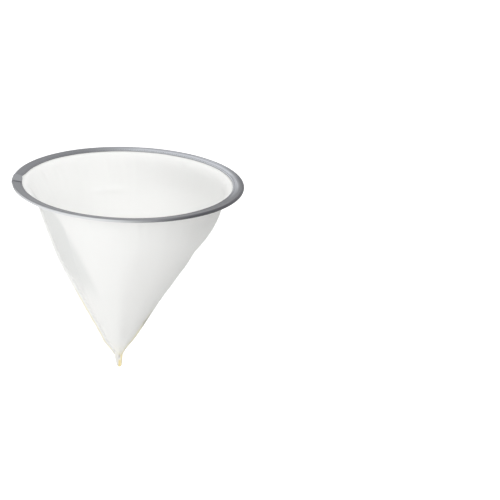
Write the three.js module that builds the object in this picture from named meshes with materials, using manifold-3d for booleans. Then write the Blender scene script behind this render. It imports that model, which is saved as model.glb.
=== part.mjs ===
// A cone of fine white net for straining honey, hung by its rim in the mouth of a pail.
// One sheet of nylon net is rolled into a cone and sewn down its left side. The net's top edge
// is gripped in a grey tape, folded over a steel wire hoop that keeps the mouth round.
// Millimetres, +Z up. The origin is the centre of the rim's flat underside, which rests on the
// pail, so the cone hangs below it. The front of the cone faces -Y and its seam faces -X.

import * as THREE from 'three';
import { mergeVertices } from 'three/addons/utils/BufferGeometryUtils.js';
import Module from 'manifold-3d';

// The rim: a tape folded over a wire hoop.
const RIM_DIAMETER = 300; // over the tape
const TAPE_WIDTH = 13; // folded, from the outer fold to its two inner edges
const TAPE_THICKNESS = 0.6;
const WIRE_DIAMETER = 2.6;
const LAP_LENGTH = 28; // the tape's end laid over its start
const LAP_FRONT = 8; // how far in front of the seam the lapped end is cut
const LAP_EMBED = 0.3; // how far the lapped end is sunk into the tape that it is glued to
const LAP_START_TURN = -0.12; // of a full turn, where the lap begins on the outside of the fold

// The net: a lip that leaves the tape level, a steep shoulder, a cone and a narrow foot.
const NET_THICKNESS = 0.6;
const SHOULDER_DEPTH = 30; // below the rim's underside
const SHOULDER_INSET = 20.5; // inside the tape's inner edge
const SHOULDER_SLOPE = 0.38; // millimetres inward for each one down
const LIP_REACH = 9; // how far the lip runs level before it turns down
const CONE_START_DEPTH = 110;
const CONE_START_RADIUS = 77;
const CONE_SLOPE = 0.6;
const CONE_REACH = 45; // how far down the cone it keeps that slope
const CONE_DEPTH = 236; // to the foot of the cone, where the tail starts
const FOOT_RADIUS = 3;
const FOOT_SLOPE = 0.9;
const FOOT_REACH = 14; // how far up the cone the narrow foot is felt

// The seam allowance is a narrow fold that stands out from the cone. At the foot the net is
// drawn flat and ends as a solid tail with a rounded end.
const SEAM_WIDTH = 5;
const SEAM_ROOT_THICKNESS = 1.2;
const SEAM_EDGE_THICKNESS = 0.6;
const SEAM_TOP_DEPTH = 2; // where the fold begins, clear of the tape
const SEAM_FULL_DEPTH = 12;
const SEAM_FADE_LENGTH = 16; // over which it runs out above the foot
const TAIL_WIDTH = 7;
const TAIL_LENGTH = 17;
const TAIL_FLATNESS = 0.4; // its thickness as a share of its width
const TAIL_FLATTEN_LENGTH = 12; // over which the cone above it goes flat

// How the net hangs: it leans to one side below the rim and to the other near its tip, and its
// front left is drawn flat between the seam and a crease.
const UPPER_LEAN = 4.5;
const UPPER_LEAN_DEPTH = 38;
const LOWER_LEAN = -5.5;
const LOWER_LEAN_DEPTH = 150;
const FLAT_START = THREE.MathUtils.degToRad(186);
const FLAT_END = THREE.MathUtils.degToRad(228);
const FLATNESS = 0.45; // 1 is a true plane between the seam and the crease
const FLAT_FULL_DEPTH = 35;
const FLAT_FADE_DEPTH = 130;

const FIT_GAP = 0.3; // between pieces that touch
const TURN_STEPS = 60; // facets round the rim
const FOLD_STEPS = 8; // facets round the wire and round the tail's end
const LIP_STEPS = 6;
const SHOULDER_STEPS = 7;
const CONE_STEPS = 9;

const wireRadius = WIRE_DIAMETER / 2;
const slotRadius = wireRadius + FIT_GAP;
const foldRadius = slotRadius + TAPE_THICKNESS;
const wireCentre = new THREE.Vector2(RIM_DIAMETER / 2 - foldRadius, foldRadius);
const mouthRadius = RIM_DIAMETER / 2 - TAPE_WIDTH;
const slotHeight = NET_THICKNESS + 2 * FIT_GAP;
const netLevel = TAPE_THICKNESS + slotHeight / 2;

const wasm = await Module();
wasm.setup();

// A closed mesh as a solid that can be joined and cut. Faces that shrink to a line at the
// turning axis are left out.
function solidFrom(geometry) {
  const bare = geometry.clone();
  bare.deleteAttribute('normal');
  bare.deleteAttribute('uv');
  const merged = mergeVertices(bare, 1e-4);
  const corners = merged.index.array;
  const kept = [];
  for (let i = 0; i < corners.length; i += 3) {
    const [a, b, c] = corners.subarray(i, i + 3);
    if (a !== b && b !== c && c !== a) kept.push(a, b, c);
  }
  return new wasm.Manifold(
    new wasm.Mesh({
      numProp: 3,
      vertProperties: merged.attributes.position.array,
      triVerts: new Uint32Array(kept),
    }),
  );
}

function geometryFrom(solid) {
  const { vertProperties, triVerts } = solid.getMesh();
  const geometry = new THREE.BufferGeometry();
  geometry.setAttribute('position', new THREE.BufferAttribute(vertProperties, 3));
  geometry.setIndex(new THREE.BufferAttribute(triVerts, 1));
  geometry.computeVertexNormals();
  return geometry;
}

// A profile of (radius, height) points, turned round the Z axis.
function turned(profile) {
  return new THREE.LatheGeometry(profile, TURN_STEPS).rotateX(Math.PI / 2);
}

function arc(centre, radius, from, to) {
  return Array.from({ length: FOLD_STEPS + 1 }, (_, i) => {
    const angle = THREE.MathUtils.lerp(from, to, i / FOLD_STEPS);
    return new THREE.Vector2(Math.cos(angle), Math.sin(angle)).multiplyScalar(radius).add(centre);
  });
}

// The angle at which the tape's upper leg rises from its inner edge to the top of the fold.
function legRise() {
  const edge = new THREE.Vector2(mouthRadius, TAPE_THICKNESS + slotHeight);
  const toWire = wireCentre.clone().sub(edge);
  return toWire.angle() + Math.asin(slotRadius / toWire.length());
}

// The folded tape: a level lower leg, a fold round the wire and an upper leg that slopes down
// to the inner edge. The net's edge goes into the slot between the legs.
function tapeSection() {
  const under = -Math.PI / 2;
  const over = Math.PI / 2 + legRise();
  const lipHeight = TAPE_THICKNESS + slotHeight;
  return [
    new THREE.Vector2(mouthRadius, 0),
    ...arc(wireCentre, foldRadius, under, over),
    new THREE.Vector2(mouthRadius, lipHeight + TAPE_THICKNESS / Math.cos(legRise())),
    new THREE.Vector2(mouthRadius, lipHeight),
    ...arc(wireCentre, slotRadius, over, under),
    new THREE.Vector2(mouthRadius, TAPE_THICKNESS),
    new THREE.Vector2(mouthRadius, 0),
  ];
}

// The tape's end, lying over the outside and the top of the fold for a short stretch.
function lapSection() {
  const from = LAP_START_TURN * 2 * Math.PI;
  const over = Math.PI / 2 + legRise();
  const lipTop = TAPE_THICKNESS + slotHeight + TAPE_THICKNESS / Math.cos(legRise());
  const outside = arc(wireCentre, foldRadius + TAPE_THICKNESS, from, over);
  const inside = arc(wireCentre, foldRadius - LAP_EMBED, over, from);
  return [
    ...outside,
    new THREE.Vector2(mouthRadius, lipTop + TAPE_THICKNESS),
    new THREE.Vector2(mouthRadius, lipTop - LAP_EMBED),
    ...inside,
    outside[0].clone(),
  ];
}

function rimTape() {
  const cut = new THREE.BoxGeometry(RIM_DIAMETER, LAP_LENGTH, RIM_DIAMETER);
  cut.translate(-RIM_DIAMETER / 2 - mouthRadius / 2, LAP_LENGTH / 2 - LAP_FRONT, 0);
  const lap = solidFrom(turned(lapSection())).intersect(solidFrom(cut));
  return geometryFrom(solidFrom(turned(tapeSection())).add(lap));
}

function hoopWire() {
  const ring = new THREE.TorusGeometry(wireCentre.x, wireRadius, FOLD_STEPS, TURN_STEPS);
  return ring.translate(0, 0, wireCentre.y);
}

// The middle of the net's thickness, from the wire in to the tape's inner edge and down to the
// foot of the cone, as (radius, height) points.
function netLine() {
  const mouth = new THREE.Vector2(mouthRadius, netLevel);
  const shoulder = new THREE.Vector2(mouthRadius - SHOULDER_INSET, -SHOULDER_DEPTH);
  const cone = new THREE.Vector2(CONE_START_RADIUS, -CONE_START_DEPTH);
  const foot = new THREE.Vector2(FOOT_RADIUS, -CONE_DEPTH);
  const down = (slope, reach) => new THREE.Vector2(-slope, -1).multiplyScalar(reach);
  const upperReach = SHOULDER_DEPTH / 2;
  const lowerReach = (CONE_START_DEPTH - SHOULDER_DEPTH) / 3;
  const lip = new THREE.CubicBezierCurve(
    mouth,
    new THREE.Vector2(mouthRadius - LIP_REACH, netLevel),
    shoulder.clone().sub(down(SHOULDER_SLOPE, upperReach)),
    shoulder,
  );
  const belly = new THREE.CubicBezierCurve(
    shoulder,
    shoulder.clone().add(down(SHOULDER_SLOPE, lowerReach)),
    cone.clone().sub(down(CONE_SLOPE, lowerReach)),
    cone,
  );
  const narrowing = new THREE.CubicBezierCurve(
    cone,
    cone.clone().add(down(CONE_SLOPE, CONE_REACH)),
    foot.clone().sub(down(FOOT_SLOPE, FOOT_REACH)),
    foot,
  );
  return [
    new THREE.Vector2(wireCentre.x - wireRadius - FIT_GAP, netLevel),
    ...lip.getPoints(LIP_STEPS),
    ...belly.getPoints(SHOULDER_STEPS).slice(1),
    ...narrowing.getPoints(CONE_STEPS).slice(1),
  ];
}

// The same line moved sideways: a positive distance moves it to the outside of the cone.
function offsetLine(line, distance) {
  return line.map((point, i) => {
    const before = line[Math.max(i - 1, 0)];
    const after = line[Math.min(i + 1, line.length - 1)];
    const along = after.clone().sub(before).normalize();
    return new THREE.Vector2(-along.y, along.x).multiplyScalar(distance).add(point);
  });
}

// How far the hanging net stands to one side of the rim's centre at a depth.
function leanAt(depth) {
  const { smoothstep } = THREE.MathUtils;
  const out = UPPER_LEAN * smoothstep(depth, 0, UPPER_LEAN_DEPTH);
  return out + (LOWER_LEAN - UPPER_LEAN) * smoothstep(depth, UPPER_LEAN_DEPTH, LOWER_LEAN_DEPTH);
}

// How much of its radius the net keeps where it is drawn flat.
function flatShare(angle, depth) {
  const half = (FLAT_END - FLAT_START) / 2;
  const off = Math.abs(angle - FLAT_START - half);
  if (off >= half) return 1;
  const { smoothstep } = THREE.MathUtils;
  const here = smoothstep(depth, 0, FLAT_FULL_DEPTH);
  const left = 1 - smoothstep(depth, FLAT_FADE_DEPTH, CONE_DEPTH);
  return 1 - FLATNESS * here * left * (1 - Math.cos(half) / Math.cos(off));
}

// How far the seam's fold stands out at a depth.
function seamReach(depth) {
  const { smoothstep } = THREE.MathUtils;
  const grown = smoothstep(depth, SEAM_TOP_DEPTH, SEAM_FULL_DEPTH);
  return SEAM_WIDTH * grown * (1 - smoothstep(depth, CONE_DEPTH - SEAM_FADE_LENGTH, CONE_DEPTH));
}

// Hangs a turned wall as the net hangs. The two columns of corners nearest to the seam become
// the fold's edge, the next two its root, and the rest share what is left of the turn. Only the
// outside of the wall follows the fold.
function hang(geometry, outsideCount, profileCount) {
  const { smoothstep } = THREE.MathUtils;
  const position = geometry.attributes.position;
  for (let i = 0; i < position.count; i++) {
    const [x, y, z] = [position.getX(i), position.getY(i), position.getZ(i)];
    const radius = Math.hypot(x, y);
    if (radius < 1e-6) {
      position.setX(i, leanAt(-z));
      continue;
    }
    const turn = Math.atan2(-y, -x);
    const column = Math.abs(turn) / (2 * Math.PI / TURN_STEPS);
    const side = Math.sign(turn);
    const outside = i % profileCount < outsideCount;
    const at = new THREE.Vector2();
    if (column < 1) {
      const reach = outside ? seamReach(-z) : 0;
      at.set(-radius - reach, -side * Math.min(SEAM_EDGE_THICKNESS, radius / 4) / 2);
    } else if (column < 2) {
      at.set(-radius, -side * Math.min(SEAM_ROOT_THICKNESS, radius / 2) / 2);
    } else {
      const angle = Math.PI * (1 + side * (column - 1.5) / (TURN_STEPS / 2 - 1.5));
      const share = flatShare((angle + 2 * Math.PI) % (2 * Math.PI), -z);
      at.set(Math.cos(angle), Math.sin(angle)).multiplyScalar(radius * share);
    }
    const flat = smoothstep(-z, CONE_DEPTH - TAIL_FLATTEN_LENGTH, CONE_DEPTH);
    position.setXYZ(i, at.x + leanAt(-z), at.y * (1 - flat * (1 - TAIL_FLATNESS)), z);
  }
  return geometry;
}

function filterCone() {
  const line = netLine();
  const inFoot = -CONE_DEPTH + NET_THICKNESS;
  const half = TAIL_WIDTH / 2;
  const tailEnd = arc(new THREE.Vector2(0, -CONE_DEPTH - TAIL_LENGTH + half), half, -Math.PI / 2, 0);
  tailEnd[0].x = 0;
  const inside = offsetLine(line, -NET_THICKNESS / 2).filter((point) => point.y > inFoot);
  const outside = offsetLine(line, NET_THICKNESS / 2).reverse();
  const profile = [...tailEnd, ...outside, ...inside, new THREE.Vector2(0, inFoot), tailEnd[0]];
  const halfStep = Math.PI / TURN_STEPS;
  const wall = new THREE.LatheGeometry(profile, TURN_STEPS, halfStep).rotateX(Math.PI / 2);
  return hang(wall, tailEnd.length + outside.length, profile.length);
}

function piece(name, geometry, color, roughness, metalness = 0) {
  const material = new THREE.MeshStandardMaterial({ color, roughness, metalness });
  const mesh = new THREE.Mesh(geometry, material);
  mesh.name = name;
  return mesh;
}

const honeyFilter = new THREE.Group();
honeyFilter.add(
  piece('filter_cone', filterCone(), 0xf1f2f0, 0.7),
  piece('rim_tape', rimTape(), 0x8c8e94, 0.45),
  piece('hoop_wire', hoopWire(), 0xb9bcc0, 0.35, 0.9),
);

export default honeyFilter;
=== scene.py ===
import math

import bmesh
import bpy
import numpy as np
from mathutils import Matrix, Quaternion, Vector


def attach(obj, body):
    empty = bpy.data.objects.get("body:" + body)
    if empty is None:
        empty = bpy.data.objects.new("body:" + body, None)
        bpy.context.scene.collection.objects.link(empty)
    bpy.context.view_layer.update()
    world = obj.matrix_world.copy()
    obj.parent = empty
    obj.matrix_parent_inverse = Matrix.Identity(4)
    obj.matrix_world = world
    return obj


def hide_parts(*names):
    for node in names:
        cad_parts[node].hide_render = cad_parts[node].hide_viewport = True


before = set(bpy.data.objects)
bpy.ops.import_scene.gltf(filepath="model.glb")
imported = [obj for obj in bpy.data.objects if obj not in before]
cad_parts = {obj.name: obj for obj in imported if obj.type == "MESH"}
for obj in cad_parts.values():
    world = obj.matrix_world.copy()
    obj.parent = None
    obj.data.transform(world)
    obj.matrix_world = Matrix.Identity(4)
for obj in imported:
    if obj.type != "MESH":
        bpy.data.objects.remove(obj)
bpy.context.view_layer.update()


# The hoop: spring wire bent into a ring, welded and drawn bright. It keeps the mouth of the
# filter round and lies hidden in the fold of the tape.

class Value:
    """A number or a colour that changes over a surface, so that shader maths reads plainly."""

    def __init__(self, finish, socket):
        self.finish = finish
        self.socket = socket

    def maths(self, operation, *numbers):
        return self.finish.node(
            "ShaderNodeMath", {"operation": operation}, dict(enumerate(numbers))
        )

    def __add__(self, other):
        return self.maths("ADD", self, other)

    def __sub__(self, other):
        return self.maths("SUBTRACT", self, other)

    def __rsub__(self, other):
        return self.maths("SUBTRACT", other, self)

    def __mul__(self, other):
        return self.maths("MULTIPLY", self, other)

    def __abs__(self):
        return self.maths("ABSOLUTE", self)

    __radd__ = __add__
    __rmul__ = __mul__

    def sine(self):
        return self.maths("SINE", self)

    def higher(self, other):
        return self.maths("MAXIMUM", self, other)

    def lower(self, other):
        return self.maths("MINIMUM", self, other)

    def angle_from(self, other):
        """The angle whose tangent is this length over the other."""
        return self.maths("ARCTAN2", self, other)

    def ramp(self, start, end):
        """0 before start and 1 after end, and smooth between them."""
        return self.finish.node(
            "ShaderNodeMapRange",
            {"interpolation_type": "SMOOTHSTEP"},
            {"Value": self, "From Min": start, "From Max": end},
        )

    def band(self, start, full, fading, end):
        """1 between full and fading, and 0 before start and after end."""
        return self.ramp(start, full) * (1 - self.ramp(fading, end))


class Finish:
    """One material, or the sky, and the one way in which its nodes are made."""

    def __init__(self, owner, shader="Principled BSDF", **settings):
        owner.use_nodes = True
        self.owner = owner
        self.tree = owner.node_tree
        self.shader = self.tree.nodes[shader]
        for socket, value in settings.items():
            self.set(socket.replace("_", " "), value)

    def join(self, socket, value):
        if isinstance(value, Value):
            self.tree.links.new(value.socket, socket)
        else:
            socket.default_value = value

    def set(self, socket, value):
        self.join(self.shader.inputs[socket], value)

    def node(self, kind, settings, inputs, output=0):
        made = self.tree.nodes.new(kind)
        for name, setting in settings.items():
            setattr(made, name, setting)
        for name, value in inputs.items():
            self.join(made.inputs[name], value)
        return Value(self, made.outputs[output])

    def blend(self, share, first, second):
        """A colour that goes from first to second as share goes from 0 to 1."""
        colours = {"Factor": share, 6: first, 7: second}
        return self.node("ShaderNodeMix", {"data_type": "RGBA"}, colours, output=2)

    def place(self, axis):
        """A coordinate of the surface in the part's own frame, in metres."""
        where = self.node("ShaderNodeTexCoord", {}, {}, output="Object")
        return self.node("ShaderNodeSeparateXYZ", {}, {"Vector": where}, output=axis)

    def on_cloth(self, axis):
        """A coordinate on the cloth as it lay flat, in metres."""
        where = self.node("ShaderNodeUVMap", {"uv_map": "flat_cloth"}, {})
        return self.node("ShaderNodeSeparateXYZ", {}, {"Vector": where}, output=axis)

    def mottle(self, per_metre, detail=2.0):
        """Soft irregular patches between 0 and 1."""
        where = self.node("ShaderNodeTexCoord", {}, {}, output="Object")
        grain = {"Vector": where, "Scale": per_metre, "Detail": detail}
        return self.node("ShaderNodeTexNoise", {}, grain)

    def relief(self, height, distance, strength=1.0):
        """Raises the surface by height times distance, in metres."""
        rise = {"Strength": strength, "Distance": distance, "Height": height}
        self.set("Normal", self.node("ShaderNodeBump", {}, rise))


drawn_wire = Finish(bpy.data.materials.new("drawn_wire"), Metallic=1.0)
wire_scratches = drawn_wire.mottle(900.0, detail=6.0)
drawn_wire.set(
    "Base Color", drawn_wire.blend(wire_scratches, (0.42, 0.43, 0.45, 1), (0.6, 0.61, 0.63, 1))
)
drawn_wire.set("Roughness", 0.25 + 0.2 * wire_scratches)
drawn_wire.relief(wire_scratches, 0.00004)
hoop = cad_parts["hoop_wire"]
hoop.data.materials.clear()
hoop.data.materials.append(drawn_wire.owner)


# The net: fine white nylon cloth cut from one flat sheet and rolled into a cone. Its top edge
# is eased into the tape, which leaves small gathers, and it hangs by its own weight. It was
# stored flat, so it keeps a crease opposite the seam and another beside it.

MM = 0.001
RIM_RADIUS = 150.0 * MM
TAPE_WIDTH = 13.0 * MM
TAPE_THICKNESS = 0.6 * MM
WIRE_RADIUS = 1.3 * MM
FIT_GAP = 0.3 * MM
NET_THICKNESS = 0.6 * MM
MOUTH_RADIUS = RIM_RADIUS - TAPE_WIDTH
SLOT_HEIGHT = NET_THICKNESS + 2 * FIT_GAP
NET_LEVEL = TAPE_THICKNESS + SLOT_HEIGHT / 2
SLOT_RADIUS = WIRE_RADIUS + FIT_GAP
FOLD_RADIUS = SLOT_RADIUS + TAPE_THICKNESS
WIRE_PLACE = RIM_RADIUS - FOLD_RADIUS

SHOULDER = np.array([MOUTH_RADIUS - 20.5 * MM, -30.0 * MM])
SHOULDER_SLOPE = 0.38
LIP_REACH = 9.0 * MM
CONE_START = np.array([77.0, -110.0]) * MM
CONE_SLOPE = 0.6
CONE_REACH = 45.0 * MM
CONE_DEPTH = 236.0 * MM
FOOT = np.array([3.0 * MM, -CONE_DEPTH])
FOOT_SLOPE = 0.9
FOOT_REACH = 14.0 * MM
FOOT_FLATNESS = 0.45
COLUMNS = 360
LIP_ROWS = 31
BELLY_ROWS = 36
CONE_ROWS = 60
SHARP_EDGE = math.radians(55)

UPPER_LEAN = 4.5 * MM
UPPER_LEAN_DEPTH = 38 * MM
LOWER_LEAN = -5.5 * MM
LOWER_LEAN_DEPTH = 150 * MM
BAND_START = math.radians(4)
BAND_END = math.radians(43)
BAND_FLATNESS = 0.85
GATHER_HEIGHT = 1.0 * MM
GATHER_REACH = 22 * MM
SAG_DEPTH = 82 * MM
SAG_TURN = math.pi * 0.93
BELLY_DEPTH = 132 * MM
BACK_CREASE_DEPTH = 43 * MM
BACK_CREASE_TURN = math.radians(287)
PLEAT_HEIGHT = 0.35 * MM
WAIST_DEPTH = 228 * MM

CREASE_TURN = math.radians(149)
SMEAR_DEPTH = 178 * MM
CUT_ANGLE = math.pi * 1.02
CREASE_ON_CLOTH = (CREASE_TURN / (2 * math.pi) - 0.5) * CUT_ANGLE
THREAD_PITCH = 0.6 * MM
HONEY = (0.90, 0.76, 0.38, 1)
HONEY_PALE = (0.94, 0.87, 0.62, 1)
# The dark of old honey in the smear, also used for the painted shadow in the tail's gap.
OLD_HONEY_AND_SHADE = (0.30, 0.27, 0.22, 1)


def smooth(value, start, end):
    share = np.clip((value - start) / (end - start), 0, 1)
    return share * share * (3 - 2 * share)


def hump(value, middle, width):
    return np.exp(-(((value - middle) / width) ** 2))


def bezier(first, second, third, last, count):
    t = np.linspace(0, 1, count + 1)[:, None]
    s = 1 - t
    return s**3 * first + 3 * s * s * t * second + 3 * s * t * t * third + t**3 * last


def net_outline():
    """The middle of the net's thickness from the wire to the foot, as rows of radius and height."""
    mouth = np.array([MOUTH_RADIUS, NET_LEVEL])
    at_wire = np.array([WIRE_PLACE - SLOT_RADIUS, NET_LEVEL])
    in_tape = at_wire + (mouth - at_wire) * np.linspace(0, 1, 5)[:-1, None]
    above_shoulder = (mouth[1] - SHOULDER[1]) / 2 * np.array([SHOULDER_SLOPE, 1])
    lip = bezier(mouth, mouth - [LIP_REACH, 0], SHOULDER + above_shoulder, SHOULDER, LIP_ROWS)
    belly_reach = (SHOULDER[1] - CONE_START[1]) / 3
    below_shoulder = belly_reach * np.array([-SHOULDER_SLOPE, -1])
    above_cone = belly_reach * np.array([CONE_SLOPE, 1])
    belly = bezier(
        SHOULDER, SHOULDER + below_shoulder, CONE_START + above_cone, CONE_START, BELLY_ROWS
    )
    down_cone = CONE_REACH * np.array([-CONE_SLOPE, -1])
    above_foot = FOOT_REACH * np.array([FOOT_SLOPE, 1])
    narrowing = bezier(CONE_START, CONE_START + down_cone, FOOT + above_foot, FOOT, CONE_ROWS)
    return np.vstack([in_tape, lip, belly[1:], narrowing[1:]])


def lean(depth):
    """How far the hanging net stands to one side of the rim's centre."""
    upper = UPPER_LEAN * smooth(depth, 0, UPPER_LEAN_DEPTH)
    return upper + (LOWER_LEAN - UPPER_LEAN) * smooth(depth, UPPER_LEAN_DEPTH, LOWER_LEAN_DEPTH)


def flat_share(turn, depth):
    """The share of its radius that the net keeps where it is drawn flat beside the seam."""
    half = (BAND_END - BAND_START) / 2
    off = np.abs(turn - BAND_START - half)
    chord = np.where(off < half, np.cos(half) / np.cos(np.minimum(off, half)), 1)
    below_rim = smooth(depth, 2 * MM, 30 * MM)
    above_tip = 1 - smooth(depth, 115 * MM, 190 * MM)
    return 1 - BAND_FLATNESS * below_rim * above_tip * (1 - chord)


def gathers(turn, depth):
    """Small puckers where the net is eased into the tape, deepest just below it."""
    waves = 0.5 * np.sin(23 * turn + 1) + 0.4 * np.sin(38 * turn + 2.1)
    waves = waves + 0.3 * np.sin(61 * turn + 0.4)
    uneven = 0.6 + 0.4 * np.sin(3 * turn + 0.7) * np.sin(5 * turn + 2)
    fade = smooth(depth, 0, 7 * MM) * np.exp(-depth / GATHER_REACH)
    return GATHER_HEIGHT * waves * uneven * fade


def off_seam(turn):
    """The turn from the seam, less than nothing behind it."""
    return (turn + math.pi) % (2 * math.pi) - math.pi


def slack(turn, depth):
    """The loose hang of the net, and the creases that it keeps from lying flat."""
    hanging = smooth(depth, 20 * MM, 90 * MM) * (1 - smooth(depth, 170 * MM, CONE_DEPTH))
    waves = 0.7 * np.sin(5 * turn + 0.8) + 0.5 * np.sin(8 * turn + 2) + 0.25 * np.sin(13 * turn)
    across_back = hump(depth, BACK_CREASE_DEPTH, 3.5 * MM) * hump(turn, BACK_CREASE_TURN, 0.23)
    sag = 3.2 * hump(depth, SAG_DEPTH, 17 * MM) - 1.1 * hump(depth, BELLY_DEPTH, 15 * MM)
    sag = sag * hump(turn, SAG_TURN, 0.45)
    opposite_seam = hump(turn, CREASE_TURN, 0.05) * smooth(depth, 90 * MM, 170 * MM)
    beside_seam = hump(turn, BAND_END, 0.035) * smooth(depth, 20 * MM, 60 * MM)
    creases = opposite_seam + 0.5 * beside_seam - 0.9 * across_back
    low = smooth(depth, 95 * MM, 150 * MM) * (1 - 0.5 * smooth(depth, 205 * MM, CONE_DEPTH))
    drawn_in = 3.4 * low * hump(off_seam(turn), 0, 0.5)
    return MM * (0.7 * waves * hanging + creases - sag - drawn_in)


def pleats(turn, depth):
    """The folds in which the net is gathered into the tail."""
    near_foot = smooth(depth, CONE_DEPTH - 30 * MM, CONE_DEPTH)
    return PLEAT_HEIGHT * near_foot * np.cos(9 * turn + 0.4)


def net_sheet(outline, turn):
    """Points of the net's middle surface, rows down and columns round from the seam."""
    radius, height = outline[:, :1], outline[:, 1:]
    depth = -height + 0 * turn
    loose = gathers(turn, depth) + slack(turn, depth)
    loose = loose * smooth(radius, 4 * MM, 30 * MM) + pleats(turn, depth)
    narrow = 1 - 0.2 * hump(depth, WAIST_DEPTH, 10 * MM)
    reach = (radius + loose) * flat_share(turn, depth) * narrow
    flatness = 1 - (1 - FOOT_FLATNESS) * smooth(depth, CONE_DEPTH - 14 * MM, CONE_DEPTH)
    x = lean(depth) - reach * np.cos(turn)
    y = -reach * np.sin(turn) * flatness
    return np.stack([x, y, -depth], axis=-1)


def unit(vectors):
    return vectors / np.linalg.norm(vectors, axis=-1, keepdims=True)


def along_line(line):
    """The distance of each point of a line from its first."""
    return np.concatenate([[0], np.cumsum(np.linalg.norm(np.diff(line, axis=0), axis=1))])


def grid(along, across):
    """The flat places of a strip from the distances along it and across it."""
    return np.stack(np.broadcast_arrays(along[:, None], across[None, :]), axis=-1)


def skin(rings, closed):
    """The faces of a closed skin over rings of points, each corner as (ring, place round it).

    A number past the last stands for the first again. An open run of rings is capped."""
    count, around = rings.shape[:2]
    ring, place = np.mgrid[: count if closed else count - 1, :around]
    quads = np.stack(
        [ring[..., None] + [0, 1, 1, 0], place[..., None] + [0, 0, 1, 1]], axis=-1
    )
    faces = quads.reshape(-1, 4, 2).tolist()
    if not closed:
        faces.append([(0, k) for k in range(around)][::-1])
        faces.append([(count - 1, k) for k in range(around)])
    return faces


def cloth_piece(name, rings, finish, replaced, closed=False, places=None, copies=1):
    """A closed piece over rings of points, with its place on the flat cloth as its map."""
    count, around = rings.shape[-3:-1]
    faces = skin(rings.reshape(-1, count, around, 3)[0], closed)
    corners = [[ring % count * around + place % around for ring, place in face] for face in faces]
    apart = count * around
    corners = [[c + copy * apart for c in face] for copy in range(copies) for face in corners]
    mesh = bpy.data.meshes.new(name)
    mesh.from_pydata(rings.reshape(-1, 3).tolist(), [], corners)
    if places is not None:
        flat = np.concatenate([places[tuple(np.array(face).T)] for face in faces])
        layer = mesh.uv_layers.new(name="flat_cloth")
        layer.uv.foreach_set("vector", flat.astype(np.float32).ravel())
    solid = bmesh.new()
    solid.from_mesh(mesh)
    inside_out = solid.calc_volume(signed=True) < 0
    solid.free()
    if inside_out:
        mesh.flip_normals()
    mesh.shade_smooth()
    mesh.set_sharp_from_angle(angle=SHARP_EDGE)
    mesh.materials.append(finish.owner)
    piece = bpy.data.objects.new(name, mesh)
    bpy.context.scene.collection.objects.link(piece)
    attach(piece, "root")
    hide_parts(replaced)
    return piece


def nylon_net(name, stain_and_shade, clearness=0.4):
    """White net that lets light through. The function given for its finish adds where honey was
    left, and painted shade and painted light.
    """
    finish = Finish(
        bpy.data.materials.new(name), Specular_IOR_Level=0.25, Sheen_Weight=0.12, Roughness=0.65
    )
    patches = finish.mottle(14.0)
    warp = abs((finish.on_cloth("X") * (math.pi / THREAD_PITCH)).sine())
    weft = abs((finish.on_cloth("Y") * (math.pi / THREAD_PITCH)).sine())
    thread = warp.higher(weft)
    white = finish.blend(patches, (0.905, 0.907, 0.90, 1), (0.93, 0.93, 0.925, 1))
    white = finish.blend(0.09 * (1 - thread), white, (0.55, 0.56, 0.55, 1))
    finish.set("Base Color", stain_and_shade(finish, white))
    finish.relief(thread, 0.00010, 0.45)
    glow = finish.node("ShaderNodeBsdfTranslucent", {}, {"Color": (0.92, 0.92, 0.91, 1)})
    cloth = Value(finish, finish.shader.outputs["BSDF"])
    both = finish.node("ShaderNodeMixShader", {}, {"Fac": clearness, 1: cloth, 2: glow})
    finish.join(finish.tree.nodes["Material Output"].inputs["Surface"], both)
    return finish


def net_stain_and_shade(finish, white):
    """Painted shade in a greyer band beside the seam, honey along the crease and at the tip, and
    one smear.
    """
    depth = 0 - finish.place("Z")
    streaks = finish.mottle(60.0, detail=3.0)
    aside, above_tip = finish.on_cloth("X"), finish.on_cloth("Y")
    from_seam = aside.angle_from(above_tip) + CUT_ANGLE / 2
    # Painted shade: the flattened band beside the seam is made greyer.
    band_shade = 1 - (from_seam - 1.9 * depth).ramp(0.27, 0.35)
    band_shade = band_shade * depth.band(4 * MM, 14 * MM, 100 * MM, 150 * MM)
    white = finish.blend(0.6 * band_shade, white, (0.70, 0.715, 0.71, 1))
    tip = depth.ramp(205 * MM, 245 * MM) * (0.2 + 0.6 * streaks)
    off_crease = abs(
        aside * math.cos(CREASE_ON_CLOTH) - above_tip * math.sin(CREASE_ON_CLOTH)
    )
    ragged = off_crease + 16 * MM * (finish.mottle(170.0, detail=5.0) - 0.5)
    crease = (1 - ragged.ramp(1.0 * MM, 8.0 * MM)) * depth.ramp(150 * MM, 205 * MM)
    smear = 1 - (ragged + 0.45 * abs(depth - SMEAR_DEPTH)).ramp(0.5 * MM, 8.0 * MM)
    stained_and_shaded = finish.blend((0.5 * tip).higher(0.85 * crease), white, HONEY_PALE)
    return finish.blend(0.7 * smear, stained_and_shaded, OLD_HONEY_AND_SHADE)


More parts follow.
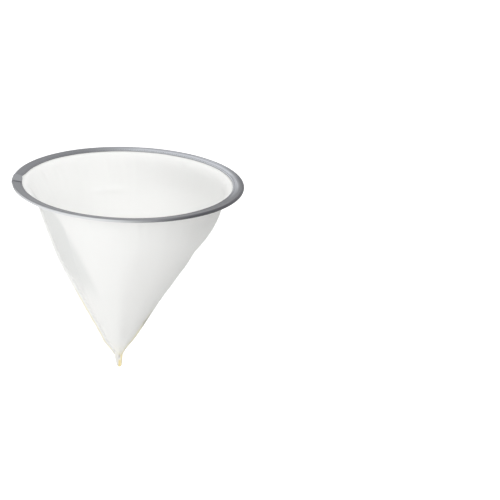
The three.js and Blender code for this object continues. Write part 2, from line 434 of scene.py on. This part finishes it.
outline = net_outline()
turns = np.linspace(0, 2 * math.pi, COLUMNS, endpoint=False)
net_points = net_sheet(outline, turns)
net_down = np.gradient(net_points, axis=0)
net_across = np.roll(net_points, -1, axis=1) - np.roll(net_points, 1, axis=1)
net_out = unit(np.cross(net_down, net_across)) * NET_THICKNESS / 2
net_rings = np.concatenate([net_points + net_out, (net_points - net_out)[::-1]])
slant = along_line(outline)
from_tip = slant[-1] - slant + 2 * FOOT[0]
cut_turn = np.linspace(-0.5, 0.5, COLUMNS + 1) * CUT_ANGLE
cut_rows = np.concatenate([from_tip, from_tip[::-1], from_tip[:1]])
cut_places = cut_rows * np.stack([np.sin(cut_turn), np.cos(cut_turn)])[..., None]
net_cloth = nylon_net("nylon_net", net_stain_and_shade)
net = cloth_piece(
    "net_cone",
    net_rings.transpose(1, 0, 2),
    net_cloth,
    "filter_cone",
    closed=True,
    places=cut_places.transpose(1, 2, 0),
)


# The seam allowance: the two edges of the net, laid together and sewn. They stand out from the
# left of the cone as a narrow flange, cut with a hot knife so that they don't fray.

ALLOWANCE_WIDTH = 5.0 * MM
ALLOWANCE_THICKNESS = 0.35 * MM
ALLOWANCE_TOP = 2.5 * MM
ALLOWANCE_GAP = 0.35 * MM
ALLOWANCE_ROOT = -0.08
ALLOWANCE_STEPS = 240
ALLOWANCE_POINTS = 9

seam_line = net_sheet(outline, np.array([0.0]))[:, 0]
seam_line = seam_line[seam_line[:, 2] < -ALLOWANCE_TOP]
seam_along = np.linspace(0, along_line(seam_line)[-1], ALLOWANCE_STEPS)


def at_steps(steps, line, places):
    """Points of a line at given distances along it."""
    return np.stack([np.interp(steps, places, line[:, k]) for k in range(3)], axis=-1)


seam_root = at_steps(seam_along, seam_line, along_line(seam_line))
seam_down = unit(np.gradient(seam_root, axis=0))
seam_out = np.stack([seam_down[:, 2], 0 * seam_along, -seam_down[:, 0]], axis=-1)
seam_reach = 0.55 + 0.45 * smooth(seam_along, 0, 60 * MM)
seam_reach = seam_reach + 0.3 * smooth(seam_along, 90 * MM, 170 * MM)
seam_reach = seam_reach * (1 - 0.5 * smooth(seam_along, seam_along[-1] - 25 * MM, seam_along[-1]))


def allowance_rings(side):
    """The rings along one of the two net edges, which is wavy where it was cut."""
    across = np.linspace(ALLOWANCE_ROOT, 1, ALLOWANCE_POINTS)
    loose = np.clip(across, 0, 1) ** 2
    reach = ALLOWANCE_WIDTH * seam_reach[:, None] * across
    wave = 0.28 * np.sin(seam_along * 2 * math.pi / (17 * MM) + side)
    wave = wave + 0.2 * np.sin(seam_along * 2 * math.pi / (7.3 * MM) + 2 * side)
    aside = side * (ALLOWANCE_GAP + 0.25 * MM * loose) + wave[:, None] * MM * loose
    sheet = seam_root[:, None] + seam_out[:, None] * reach[..., None]
    sheet[..., 1] += aside
    half = np.array([0, ALLOWANCE_THICKNESS / 2, 0])
    return np.concatenate([sheet + half, (sheet - half)[:, ::-1]], axis=1)


def allowance_light_and_stain(finish, white):
    """Painted light: the net made paler, most towards its cut edge. Honey has crept along the edge.
    """
    depth = 0 - finish.place("Z")
    edge = finish.on_cloth("Y").ramp(2.6 * MM, 4.6 * MM)
    crept = edge * depth.ramp(130 * MM, 165 * MM) * (0.4 + 0.5 * finish.mottle(90.0))
    # Painted light: the flange is made paler, most towards its cut edge.
    cut_edge_tone = finish.blend(0.5 + 0.5 * edge, white, (0.97, 0.965, 0.95, 1))
    return finish.blend(crept.lower(1.0), cut_edge_tone, HONEY_PALE)


across_allowance = np.linspace(0, ALLOWANCE_WIDTH, ALLOWANCE_POINTS)
across_allowance = np.concatenate([across_allowance, across_allowance[::-1], [0]])
allowance_cloth = nylon_net("nylon_net_edge", allowance_light_and_stain, clearness=0.15)
allowance = [
    cloth_piece(
        "seam_allowance_" + label,
        allowance_rings(side),
        allowance_cloth,
        "filter_cone",
        places=grid(seam_along, across_allowance),
    )
    for side, label in ((-1, "front"), (1, "back"))
]


# The tail: the point of the cone, gathered, drawn flat and sewn over. It ends rounded, and the
# last honey has soaked into it and set as a pale film between its thicker edges.

TAIL_HALF_WIDTH = 3.5 * MM
TAIL_FLARE = 3.2 * MM
TAIL_HALF_THICKNESS = 1.4 * MM
TAIL_START = -CONE_DEPTH + 6.0 * MM
TAIL_END = -CONE_DEPTH - 17.0 * MM
TAIL_ROWS = 60
TAIL_COLUMNS = 64


def tail_rings():
    """Rings down the tail, each a flattened loop with thick sides and a hollowed middle."""
    around = np.linspace(0, 2 * math.pi, TAIL_COLUMNS, endpoint=False)
    height = TAIL_START + (TAIL_END - TAIL_START) * np.sin(np.linspace(0, math.pi / 2, TAIL_ROWS))
    height = height[:, None]
    from_end = np.clip((height - TAIL_END) / TAIL_HALF_WIDTH, 0, 1)
    rounded = np.sqrt(np.clip(1 - (1 - from_end) ** 2, 0.0009, 1))
    half_flare = TAIL_FLARE / 2 * (1 - smooth(-height, CONE_DEPTH + 2 * MM, CONE_DEPTH + 15 * MM))
    below_gathers = smooth(-height, CONE_DEPTH, CONE_DEPTH + 7 * MM)
    hollow = 1 - 0.5 * hump(np.cos(around), 0, 0.45) * below_gathers
    pleat = 0.16 * MM * np.cos(8 * around) * rounded
    x = ((TAIL_HALF_WIDTH + half_flare) * rounded + pleat) * np.cos(around) - half_flare
    y = (TAIL_HALF_THICKNESS * np.sqrt(rounded) * hollow + pleat) * np.sin(around)
    sway = 0.35 * MM * np.sin((TAIL_START - height) * 2 * math.pi / (26 * MM))
    return np.stack([x + lean(-height) + sway, y, height + 0 * x], axis=-1)


tail_cloth = Finish(bpy.data.materials.new("honey_soaked_net"), Specular_IOR_Level=0.6)
tail_depth = 0 - tail_cloth.place("Z")
tail_aside = tail_cloth.place("X") - LOWER_LEAN
tail_clots = tail_cloth.mottle(420.0, detail=3.0)
tail_middle = 1 - abs(tail_aside).ramp(1.3 * MM, 3.0 * MM)
tail_low = tail_depth.ramp(CONE_DEPTH + 5 * MM, CONE_DEPTH + 9 * MM)
tail_honey = tail_low * tail_aside.ramp(-2.2 * MM, -0.6 * MM)
tail_honey = tail_aside.ramp(0.4 * MM, 1.8 * MM).higher(tail_honey)
tail_white = tail_cloth.blend(tail_clots, (0.78, 0.775, 0.74, 1), (0.90, 0.89, 0.85, 1))
tail_soaked = tail_cloth.blend((0.4 + tail_clots).lower(1.0) * tail_middle, HONEY_PALE, HONEY)
tail_colour = tail_cloth.blend(tail_honey, tail_white, tail_soaked)
# Painted shadow: the gap at the top of the tail, where the net is gathered in, is darkened.
tail_gap_shade = 1 - abs(tail_aside + 0.5 * MM).ramp(0.4 * MM, 1.9 * MM)
tail_gap_shade = tail_gap_shade * tail_depth.band(*(CONE_DEPTH + k * MM for k in (-4, 0, 2, 6)))
tail_cloth.set("Base Color", tail_cloth.blend(0.4 * tail_gap_shade, tail_colour, OLD_HONEY_AND_SHADE))
tail_cloth.set("Roughness", 0.5 - 0.3 * tail_honey)
tail_cloth.relief(tail_clots, 0.0002, 0.6)
tail = cloth_piece("tail", tail_rings(), tail_cloth, "filter_cone")


# The binding tape: satin grey woven tape folded over the hoop, with the net's edge between its
# two legs. It grips the net all round, and its flat lower leg rests on the pail.

TAPE_STEPS = 360
LEG_POINTS = 10
FOLD_POINTS = 14
TOP_POINTS = 22
INNER_POINTS = 4
TAPE_EASE = 0.12 * MM
STITCH_INSET = 2.4 * MM
LIP_HEIGHT = TAPE_THICKNESS + SLOT_HEIGHT
WIRE_CENTRE = np.array([WIRE_PLACE, FOLD_RADIUS])
EDGE_TO_WIRE = WIRE_CENTRE - [MOUTH_RADIUS, LIP_HEIGHT]
LEG_RISE = math.atan2(*EDGE_TO_WIRE[::-1]) + math.asin(SLOT_RADIUS / np.linalg.norm(EDGE_TO_WIRE))
LIP_TOP = LIP_HEIGHT + TAPE_THICKNESS / math.cos(LEG_RISE)
UNDER = -math.pi / 2
OVER = math.pi / 2 + LEG_RISE
TAPE_GREY = np.array([0.169, 0.174, 0.187])
RIB_PITCH = 0.9 * MM
ROW_PITCH = 0.75 * MM
# Painted shade and painted highlights for the tape; the dark grey also darkens the lap's cut end.
SHADE_AND_CUT_END_DARK = (0.05, 0.05, 0.06, 1)
HIGHLIGHT_PALE = (0.56, 0.58, 0.62, 1)
FOLD_HIGHLIGHT_WHITE = (0.8, 0.81, 0.83, 1)


def bend(radius, start, end):
    angle = np.linspace(start, end, FOLD_POINTS)[:, None]
    return WIRE_CENTRE + radius * np.hstack([np.cos(angle), np.sin(angle)])


def leg(start, end, count):
    """Points between start and end, without these two."""
    return start + (end - start) * np.linspace(0, 1, count + 2)[1:-1, None]


def tape_section():
    """The folded tape's cross-section from the lower inner edge round the fold and back."""
    outside = bend(FOLD_RADIUS, UNDER, OVER)
    inside = bend(SLOT_RADIUS, OVER, UNDER)
    low_outer, low_inner, top_inner, top_outer = (
        np.array([MOUTH_RADIUS, height]) for height in (0, TAPE_THICKNESS, LIP_HEIGHT, LIP_TOP)
    )
    inward, upward = np.array([TAPE_EASE, 0]), np.array([0, TAPE_EASE])
    return np.vstack([
        low_outer + inward,
        leg(low_outer, outside[0], LEG_POINTS),
        outside,
        leg(outside[-1], top_outer, TOP_POINTS),
        top_outer + inward,
        top_outer - upward,
        top_inner + upward,
        top_inner + inward,
        leg(top_inner, inside[0], INNER_POINTS),
        inside,
        leg(inside[-1], low_inner, INNER_POINTS),
        low_inner + inward,
        low_inner - upward,
        low_outer + upward,
    ])


def edge_waver(turn):
    """How far the tape's inner edges stray. The seam's bulk holds them back at the left, and
    the tape is folded broader at the right."""
    waver = 0.12 * MM * (np.sin(7 * turn + 1) + 0.7 * np.sin(17 * turn + 2))
    broad = -2.8 * MM * hump(turn, math.radians(148), 0.65)
    return waver + broad + 2.0 * MM * hump(off_seam(turn), -math.radians(8), 0.06)


def round_rim(section, turn):
    """Rings of a section carried round the rim, drawn in a little under the stitches."""
    radius, height = section[:, 0], section[:, 1]
    turn = turn[:, None]
    on_top = smooth(height, LIP_HEIGHT + 0.4 * MM, LIP_HEIGHT + 0.55 * MM)
    groove = hump(radius, MOUTH_RADIUS + STITCH_INSET, 0.9 * MM) * on_top
    pull = 0.12 + 0.05 * np.sin(150 * turn)
    radius = radius + edge_waver(turn) * (1 - smooth(radius, MOUTH_RADIUS, MOUTH_RADIUS + 9 * MM))
    height = height - groove * pull * MM
    return np.stack([-radius * np.cos(turn), -radius * np.sin(turn), height], axis=-1)


def grey_tape(name, grey, light_and_marks):
    """Satin woven tape with fine ribs, in lengthwise streaks. The function given after the grey
    adds painted shade and highlights for the tape, and a darker cut end for the lap.
    """
    finish = Finish(bpy.data.materials.new(name), Specular_IOR_Level=0.35, Sheen_Weight=0.05)
    patches = finish.mottle(38.0, detail=3.0)
    along, across = finish.on_cloth("X"), finish.on_cloth("Y")
    fibres = finish.node("ShaderNodeCombineXYZ", {}, {"X": along * 25.0, "Y": across * 700.0})
    grain = {"Vector": fibres, "Scale": 1.0, "Detail": 3.0}
    streaks = finish.node("ShaderNodeTexNoise", {}, grain)
    woven = finish.blend(patches * 0.4 + streaks * 0.6, (*grey * 0.8, 1), (*grey * 1.25, 1))
    finish.set("Base Color", light_and_marks(finish, woven, along, across, streaks))
    finish.set("Roughness", 0.36 + 0.16 * patches)
    ribs = (along * (2 * math.pi / RIB_PITCH)).sine()
    rows = (across * (2 * math.pi / ROW_PITCH)).sine()
    finish.relief(0.5 + 0.25 * ribs + 0.25 * rows, 0.00008, 0.35)
    return finish


def section_places(section):
    """The distance of each corner along the section, and back to the first."""
    return along_line(np.vstack([section, section[:1]]))


tape_outline = tape_section()
tape_across = section_places(tape_outline)
fold_from, fold_to, top_edge = (
    float(tape_across[LEG_POINTS + corners])
    for corners in (1, FOLD_POINTS, FOLD_POINTS + TOP_POINTS + 1)
)


def round_from(along, *angles):
    """1 over a stretch of the rim, from angles in degrees that count from the seam."""
    return along.band(*(math.radians(angle) * RIM_RADIUS for angle in angles))


def tape_painted_light(finish, woven, along, across, streaks):
    """Painted shade at the front right, most on the fold. Painted highlights on the fold at the
    front left, and on the top at the back and along its edge at the right."""
    before_fold, past_edge = fold_from - 1.5 * MM, top_edge + 0.3 * MM
    fold = across.band(before_fold, fold_from, fold_to - 3.5 * MM, fold_to - 1.0 * MM)
    bend_top = across.band(before_fold, fold_from, fold_to - 2.0 * MM, fold_to + 6.0 * MM)
    top = across.band(fold_to - 1 * MM, fold_to + 1 * MM, top_edge, past_edge)
    edge = across.band(top_edge - 8 * MM, top_edge - 4 * MM, top_edge, past_edge)
    # Painted shade: the front right of the fold and top is darkened.
    painted_shade = 0.9 * bend_top * round_from(along, 98, 128, 185, 225)
    painted_shade = painted_shade.higher(0.5 * top * round_from(along, 90, 128, 155, 215))
    shaded_and_lit = finish.blend(painted_shade, woven, SHADE_AND_CUT_END_DARK)
    # Painted highlight: the fold at the front left is made pale.
    shaded_and_lit = finish.blend(0.9 * fold * round_from(along, 6, 30, 72, 114), shaded_and_lit, FOLD_HIGHLIGHT_WHITE)
    # Painted highlights: the top at the back and the inner edge at the right are made pale in
    # streaks.
    at_back = top * round_from(along, 185, 218, 262, 300) * (1.6 * streaks - 0.2)
    at_right = edge * round_from(along, 150, 190, 250, 285) * (1.6 * streaks)
    painted_highlight = (0.85 * at_back + 0.8 * at_right).higher(0).lower(0.9)
    return finish.blend(painted_highlight, shaded_and_lit, HIGHLIGHT_PALE)


rim_turns = np.linspace(0, 2 * math.pi, TAPE_STEPS, endpoint=False)
tape = cloth_piece(
    "binding_tape",
    round_rim(tape_outline, rim_turns),
    grey_tape("grey_tape", TAPE_GREY, tape_painted_light),
    "rim_tape",
    closed=True,
    places=grid(np.append(rim_turns, 2 * math.pi) * RIM_RADIUS, tape_across),
)


# The lap: the tape's free end, cut square and laid over its start on the left of the rim. It is
# glued down, and its cut edge shows as a dark line.

LAP_FRONT = 8.0 * MM
LAP_LENGTH = 28.0 * MM
LAP_STEPS = 30
LAP_POINTS = 12
LAP_START_ANGLE = -0.12 * 2 * math.pi
LAP_EMBED = 0.25 * MM


def lap_section():
    """The lapped end's cross-section, over the outside and the top of the fold."""
    outside = bend(FOLD_RADIUS + TAPE_THICKNESS, LAP_START_ANGLE, OVER)
    inside = bend(FOLD_RADIUS - LAP_EMBED, OVER, LAP_START_ANGLE)
    end = np.array([MOUTH_RADIUS, LIP_TOP + TAPE_THICKNESS])
    root = np.array([MOUTH_RADIUS, LIP_TOP - LAP_EMBED])
    return np.vstack([
        outside,
        leg(outside[-1], end, LAP_POINTS),
        end + [TAPE_EASE, 0],
        end - [0, TAPE_EASE],
        root,
        leg(root, inside[0], LAP_POINTS),
        inside,
    ])


def lap_cut_end_dark(finish, woven, along, across, streaks):
    """Darker over the last few millimetres before the cut end, unevenly along the streaks."""
    cut_edge_tone = 1 - along.ramp(0.5 * MM, 5.0 * MM)
    return finish.blend(cut_edge_tone * (0.35 + 0.4 * streaks), woven, SHADE_AND_CUT_END_DARK)


lap_outline = lap_section()
lap_turns = np.linspace(LAP_FRONT, LAP_FRONT - LAP_LENGTH, LAP_STEPS) / RIM_RADIUS
cloth_piece(
    "tape_lap",
    round_rim(lap_outline, lap_turns),
    grey_tape("grey_tape_end", TAPE_GREY * 1.4, lap_cut_end_dark),
    "rim_tape",
    places=grid(LAP_FRONT - lap_turns * RIM_RADIUS, section_places(lap_outline)),
)


# The stitching: polyester thread. A row of lock stitches runs round the rim just outside the
# tape's inner edges, above and below, and another closes the cone beside its allowance.

THREAD_RADIUS = 0.26 * MM
STITCH_PITCH = 3.2 * MM
STITCH_LENGTH = 2.7 * MM
THREAD_SIDES = 6
THREAD_RINGS = 7


def stitch_run(name, centres, along, up, finish, replaced):
    """One piece of separate stitches, each a short arch of thread that dips in at both ends."""
    t = np.linspace(-1, 1, THREAD_RINGS)[:, None]
    ring = np.linspace(0, 2 * math.pi, THREAD_SIDES, endpoint=False)
    width = THREAD_RADIUS * np.sqrt(1 - 0.75 * t**2)
    aside = width * np.cos(ring)
    rise = 0.2 * MM * (1 - t**2) - 0.1 * MM + width * np.sin(ring)
    run = STITCH_LENGTH / 2 * t + 0 * ring
    side = np.cross(along, up)
    rings = centres[:, None, None] + sum(
        direction[:, None, None] * distance[None, ..., None]
        for direction, distance in ((along, run), (up, rise), (side, aside))
    )
    return cloth_piece(name, rings, finish, replaced, copies=len(centres))


def thread(name, dark, pale):
    finish = Finish(bpy.data.materials.new(name), Specular_IOR_Level=0.4, Roughness=0.5)
    strands = finish.mottle(2500.0)
    finish.set("Base Color", finish.blend(strands, dark, pale))
    finish.relief(strands, 0.00006)
    return finish


grey_thread = thread("grey_thread", (0.10, 0.10, 0.115, 1), (0.24, 0.24, 0.26, 1))
white_thread = thread("white_thread", (0.68, 0.68, 0.67, 1), (0.84, 0.84, 0.83, 1))
stitch_count = round(2 * math.pi * (MOUTH_RADIUS + STITCH_INSET) / STITCH_PITCH)
stitch_turn = np.arange(stitch_count) * 2 * math.pi / stitch_count
stitch_radius = (MOUTH_RADIUS + STITCH_INSET + edge_waver(stitch_turn))[:, None]
stitch_out = np.stack([-np.cos(stitch_turn), -np.sin(stitch_turn), 0 * stitch_turn], axis=-1)
stitch_along = np.stack([np.sin(stitch_turn), -np.cos(stitch_turn), 0 * stitch_turn], axis=-1)
stitch_level = LIP_TOP + STITCH_INSET * math.tan(LEG_RISE) - 0.1 * MM
upward = np.array([0, 0, 1.0])
stitch_run(
    "rim_stitches_top",
    stitch_out * stitch_radius + upward * stitch_level,
    stitch_along,
    unit(upward * math.cos(LEG_RISE) - stitch_out * math.sin(LEG_RISE)),
    grey_thread,
    "rim_tape",
)
stitch_run(
    "rim_stitches_under",
    stitch_out * stitch_radius + upward * 0.12 * MM,
    stitch_along,
    0 * stitch_out - upward,
    grey_thread,
    "rim_tape",
)
seam_steps = np.arange(STITCH_PITCH / 2, seam_along[-1], STITCH_PITCH)
seam_inset = 1.3 * MM * np.interp(seam_steps, seam_along, seam_reach)[:, None]
seam_places = at_steps(seam_steps, seam_root, seam_along)
seam_places = seam_places + at_steps(seam_steps, seam_out, seam_along) * seam_inset
seam_runs = unit(at_steps(seam_steps, seam_down, seam_along))
seam_threads = [
    stitch_run(
        "seam_stitches_" + label,
        seam_places + np.array([0, side * (ALLOWANCE_GAP + 0.2 * MM), 0]),
        seam_runs,
        np.tile([0.0, side, 0.0], (len(seam_steps), 1)),
        white_thread,
        "filter_cone",
    )
    for side, label in ((-1, "front"), (1, "back"))
]


# The studio: the filter hangs in the air over a white floor, in soft light from the front left
# and from above. The camera looks down on the rim, which fills the left of its view.

RIM_PIXEL = (128.3, 183.5)
RIM_PIXELS_WIDE = 232.0
IMAGE_PIXELS = 500
CAMERA_DISTANCE = 4.0
CAMERA_ELEVATION = math.radians(18.5)
CAMERA_ROLL = math.radians(1.5)
FLOOR_DEPTH = 0.75
metres_per_pixel = 2 * RIM_RADIUS / RIM_PIXELS_WIDE
back = Vector((0, -math.cos(CAMERA_ELEVATION), math.sin(CAMERA_ELEVATION)))
aside = (IMAGE_PIXELS / 2 - RIM_PIXEL[0]) * metres_per_pixel
below = (IMAGE_PIXELS / 2 - RIM_PIXEL[1]) * metres_per_pixel
ahead = math.sqrt(CAMERA_DISTANCE**2 - aside**2 - below**2)
at_rim = (-back).to_track_quat("-Z", "Y")
roll = Quaternion((0, 0, 1), CAMERA_ROLL)
off_centre = Vector((0, 0, -1)).rotation_difference(Vector((-aside, below, -ahead)))
camera_data = bpy.data.cameras.new("camera")
camera_data.sensor_width = 36
camera_data.lens = camera_data.sensor_width * ahead / (IMAGE_PIXELS * metres_per_pixel)
camera_data.clip_end = 50
camera = bpy.data.objects.new("camera", camera_data)
camera.location = Vector((0, 0, FOLD_RADIUS)) + back * CAMERA_DISTANCE
camera.rotation_mode = "QUATERNION"
camera.rotation_quaternion = at_rim @ roll @ off_centre.inverted()
bpy.context.scene.collection.objects.link(camera)
bpy.context.scene.camera = camera


def seen_as_background(finish):
    """1 where the camera, a reflection or a clear view meets the surface, and 0 for its light."""
    camera_ray, glossy_ray, clear_ray = (
        finish.node("ShaderNodeLightPath", {}, {}, output=kind)
        for kind in ("Is Camera Ray", "Is Glossy Ray", "Is Transmission Ray")
    )
    return camera_ray.higher(glossy_ray).higher(clear_ray)


white_floor = Finish(
    bpy.data.materials.new("white_floor"),
    Base_Color=(0.85, 0.85, 0.85, 1),
    Roughness=0.9,
    Specular_IOR_Level=0.1,
    Emission_Color=(1, 1, 1, 1),
)
white_floor.set("Emission Strength", 0.85 * seen_as_background(white_floor))
bpy.ops.mesh.primitive_plane_add(size=30, location=(0, 0, -FLOOR_DEPTH))
floor = bpy.context.active_object
floor.name = "studio_floor"
floor.data.materials.append(white_floor.owner)

world = bpy.data.worlds.new("studio_light")
bpy.context.scene.world = world
sky = Finish(world, "Background", Color=(1, 1, 1, 1))
SKY_LIGHT = 0.34
sky.set("Strength", SKY_LIGHT + (1 - SKY_LIGHT) * seen_as_background(sky))


def lamp(name, place, size, power, aim=(0, 0, -0.08)):
    light = bpy.data.objects.new(name, bpy.data.lights.new(name, "AREA"))
    light.data.shape = "DISK"
    light.data.size = size
    light.data.energy = power
    light.location = place
    light.rotation_mode = "QUATERNION"
    light.rotation_quaternion = (Vector(aim) - Vector(place)).to_track_quat("-Z", "Y")
    bpy.context.scene.collection.objects.link(light)


lamp("window", (-1.05, -1.85, -0.3), 1.0, 10)
lamp("high_window", (-0.9, -1.8, 0.95), 1.0, 17)
lamp("ceiling", (0.8, 0.1, 1.9), 0.8, 24)
lamp("back_lamp", (-1.5, 1.4, 0.5), 0.8, 6)

bpy.context.scene.view_settings.view_transform = "Standard"
